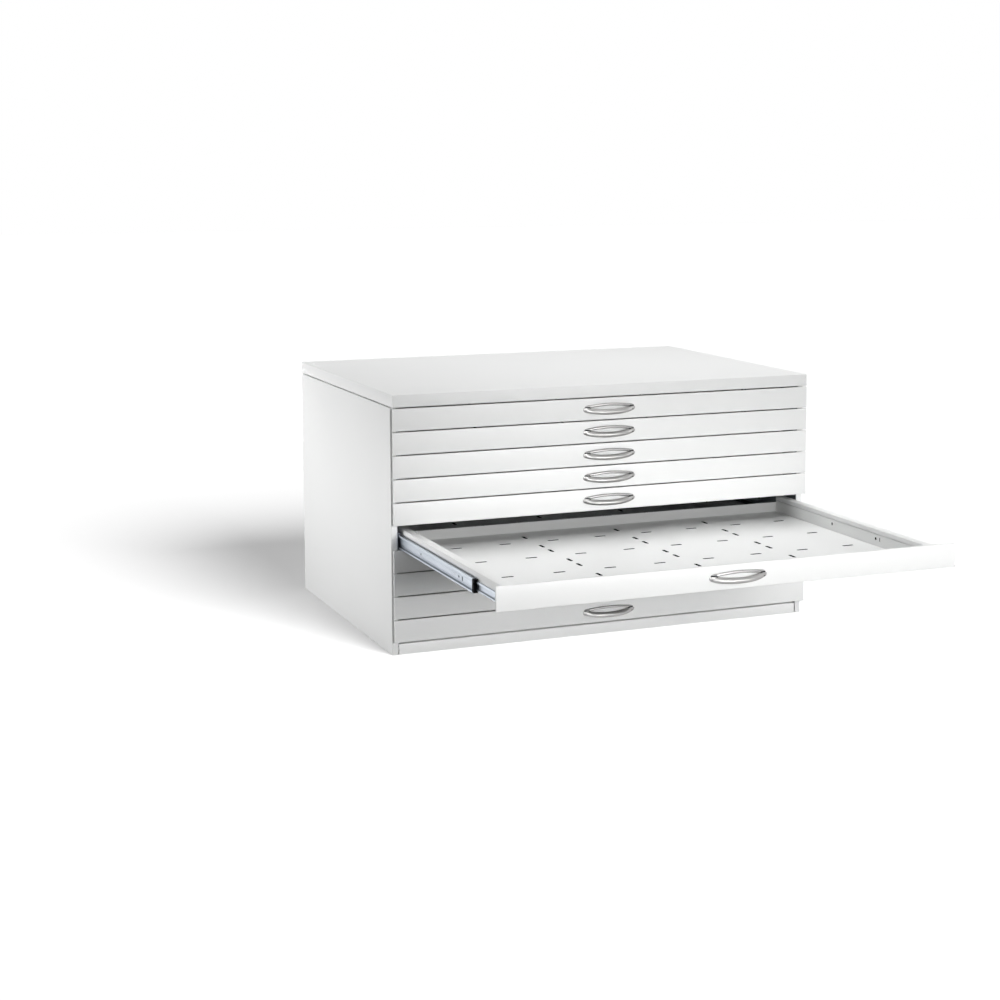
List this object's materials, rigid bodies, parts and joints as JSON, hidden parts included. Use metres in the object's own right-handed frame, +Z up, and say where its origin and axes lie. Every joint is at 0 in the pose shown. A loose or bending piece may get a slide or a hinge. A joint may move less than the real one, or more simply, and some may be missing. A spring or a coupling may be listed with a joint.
{
  "type": "flat file cabinet",
  "caption": "Low, wide floor-standing steel cabinet with shallow full-width drawers on three-part slides, for storing large flat sheets.",
  "frame": {"origin": "on the floor, under the centre of the closed body, on the web of the base channel", "axes": "+X to the right as seen from the front, +Y from the front into the cabinet, +Z up; the drawers run out towards -Y"},
  "size_m": [1.35, 1.7893, 0.76],
  "materials": {
    "white_coating": "satin powder coating",
    "grey_coating": "satin powder coating",
    "zinc_steel": "bright zinc plating",
    "silver_handle": "satin"
  },
  "bodies": {
    "cabinet": {"top_panel": "white_coating", "left_side_panel": "white_coating", "right_side_panel": "white_coating", "back_panel": "white_coating", "base_panel": "white_coating", "plinth": "white_coating", "base_channel": "grey_coating", "left_runner_plate": "zinc_steel", "right_runner_plate": "zinc_steel"},
    "drawer_01": {"tray_01": "white_coating", "front_01": "white_coating", "handle_01": "silver_handle"},
    "slides_01": {"left_slide_01": "zinc_steel", "right_slide_01": "zinc_steel"},
    "drawer_02": {"tray_02": "white_coating", "front_02": "white_coating", "handle_02": "silver_handle"},
    "slides_02": {"left_slide_02": "zinc_steel", "right_slide_02": "zinc_steel"},
    "drawer_03": {"tray_03": "white_coating", "front_03": "white_coating", "handle_03": "silver_handle"},
    "slides_03": {"left_slide_03": "zinc_steel", "right_slide_03": "zinc_steel"},
    "drawer_04": {"tray_04": "white_coating", "front_04": "white_coating", "handle_04": "silver_handle"},
    "slides_04": {"left_slide_04": "zinc_steel", "right_slide_04": "zinc_steel"},
    "drawer_05": {"tray_05": "white_coating", "front_05": "white_coating", "handle_05": "silver_handle"},
    "slides_05": {"left_slide_05": "zinc_steel", "right_slide_05": "zinc_steel"},
    "drawer_06": {"tray_06": "white_coating", "front_06": "white_coating", "handle_06": "silver_handle"},
    "slides_06": {"left_slide_06": "zinc_steel", "right_slide_06": "zinc_steel"},
    "drawer_07": {"tray_07": "white_coating", "front_07": "white_coating", "handle_07": "silver_handle"},
    "slides_07": {"left_slide_07": "zinc_steel", "right_slide_07": "zinc_steel"},
    "drawer_08": {"tray_08": "white_coating", "front_08": "white_coating", "handle_08": "silver_handle"},
    "slides_08": {"left_slide_08": "zinc_steel", "right_slide_08": "zinc_steel"},
    "drawer_09": {"tray_09": "white_coating", "front_09": "white_coating", "handle_09": "silver_handle"},
    "slides_09": {"left_slide_09": "zinc_steel", "right_slide_09": "zinc_steel"},
    "drawer_10": {"tray_10": "white_coating", "front_10": "white_coating", "handle_10": "silver_handle"},
    "slides_10": {"left_slide_10": "zinc_steel", "right_slide_10": "zinc_steel"}
  },
  "joints": [
    {"name": "drawer_01_slide", "type": "slide", "parent": "cabinet", "child": "drawer_01", "axis": [0, -1, 0], "range_m": [0, 0.86]},
    {"name": "slides_01_slide", "type": "slide", "parent": "cabinet", "child": "slides_01", "axis": [0, -1, 0], "range_m": [0, 0.6536]},
    {"name": "drawer_02_slide", "type": "slide", "parent": "cabinet", "child": "drawer_02", "axis": [0, -1, 0], "range_m": [0, 0.86]},
    {"name": "slides_02_slide", "type": "slide", "parent": "cabinet", "child": "slides_02", "axis": [0, -1, 0], "range_m": [0, 0.6536]},
    {"name": "drawer_03_slide", "type": "slide", "parent": "cabinet", "child": "drawer_03", "axis": [0, -1, 0], "range_m": [0, 0.86]},
    {"name": "slides_03_slide", "type": "slide", "parent": "cabinet", "child": "slides_03", "axis": [0, -1, 0], "range_m": [0, 0.6536]},
    {"name": "drawer_04_slide", "type": "slide", "parent": "cabinet", "child": "drawer_04", "axis": [0, -1, 0], "range_m": [0, 0.86]},
    {"name": "slides_04_slide", "type": "slide", "parent": "cabinet", "child": "slides_04", "axis": [0, -1, 0], "range_m": [0, 0.6536]},
    {"name": "drawer_05_slide", "type": "slide", "parent": "cabinet", "child": "drawer_05", "axis": [0, -1, 0], "range_m": [0, 0.86]},
    {"name": "slides_05_slide", "type": "slide", "parent": "cabinet", "child": "slides_05", "axis": [0, -1, 0], "range_m": [0, 0.6536]},
    {"name": "drawer_06_slide", "type": "slide", "parent": "cabinet", "child": "drawer_06", "axis": [0, -1, 0], "range_m": [-0.81, 0.05]},
    {"name": "slides_06_slide", "type": "slide", "parent": "cabinet", "child": "slides_06", "axis": [0, -1, 0], "range_m": [-0.6156, 0.038]},
    {"name": "drawer_07_slide", "type": "slide", "parent": "cabinet", "child": "drawer_07", "axis": [0, -1, 0], "range_m": [0, 0.86]},
    {"name": "slides_07_slide", "type": "slide", "parent": "cabinet", "child": "slides_07", "axis": [0, -1, 0], "range_m": [0, 0.6536]},
    {"name": "drawer_08_slide", "type": "slide", "parent": "cabinet", "child": "drawer_08", "axis": [0, -1, 0], "range_m": [0, 0.86]},
    {"name": "slides_08_slide", "type": "slide", "parent": "cabinet", "child": "slides_08", "axis": [0, -1, 0], "range_m": [0, 0.6536]},
    {"name": "drawer_09_slide", "type": "slide", "parent": "cabinet", "child": "drawer_09", "axis": [0, -1, 0], "range_m": [0, 0.86]},
    {"name": "slides_09_slide", "type": "slide", "parent": "cabinet", "child": "slides_09", "axis": [0, -1, 0], "range_m": [0, 0.6536]},
    {"name": "drawer_10_slide", "type": "slide", "parent": "cabinet", "child": "drawer_10", "axis": [0, -1, 0], "range_m": [0, 0.86]},
    {"name": "slides_10_slide", "type": "slide", "parent": "cabinet", "child": "slides_10", "axis": [0, -1, 0], "range_m": [0, 0.6536]}
  ],
  "couplings": [
    {"joint": "slides_01_slide", "follows": "drawer_01_slide", "ratio": 0.76},
    {"joint": "slides_02_slide", "follows": "drawer_02_slide", "ratio": 0.76},
    {"joint": "slides_03_slide", "follows": "drawer_03_slide", "ratio": 0.76},
    {"joint": "slides_04_slide", "follows": "drawer_04_slide", "ratio": 0.76},
    {"joint": "slides_05_slide", "follows": "drawer_05_slide", "ratio": 0.76},
    {"joint": "slides_06_slide", "follows": "drawer_06_slide", "ratio": 0.76},
    {"joint": "slides_07_slide", "follows": "drawer_07_slide", "ratio": 0.76},
    {"joint": "slides_08_slide", "follows": "drawer_08_slide", "ratio": 0.76},
    {"joint": "slides_09_slide", "follows": "drawer_09_slide", "ratio": 0.76},
    {"joint": "slides_10_slide", "follows": "drawer_10_slide", "ratio": 0.76}
  ]
}
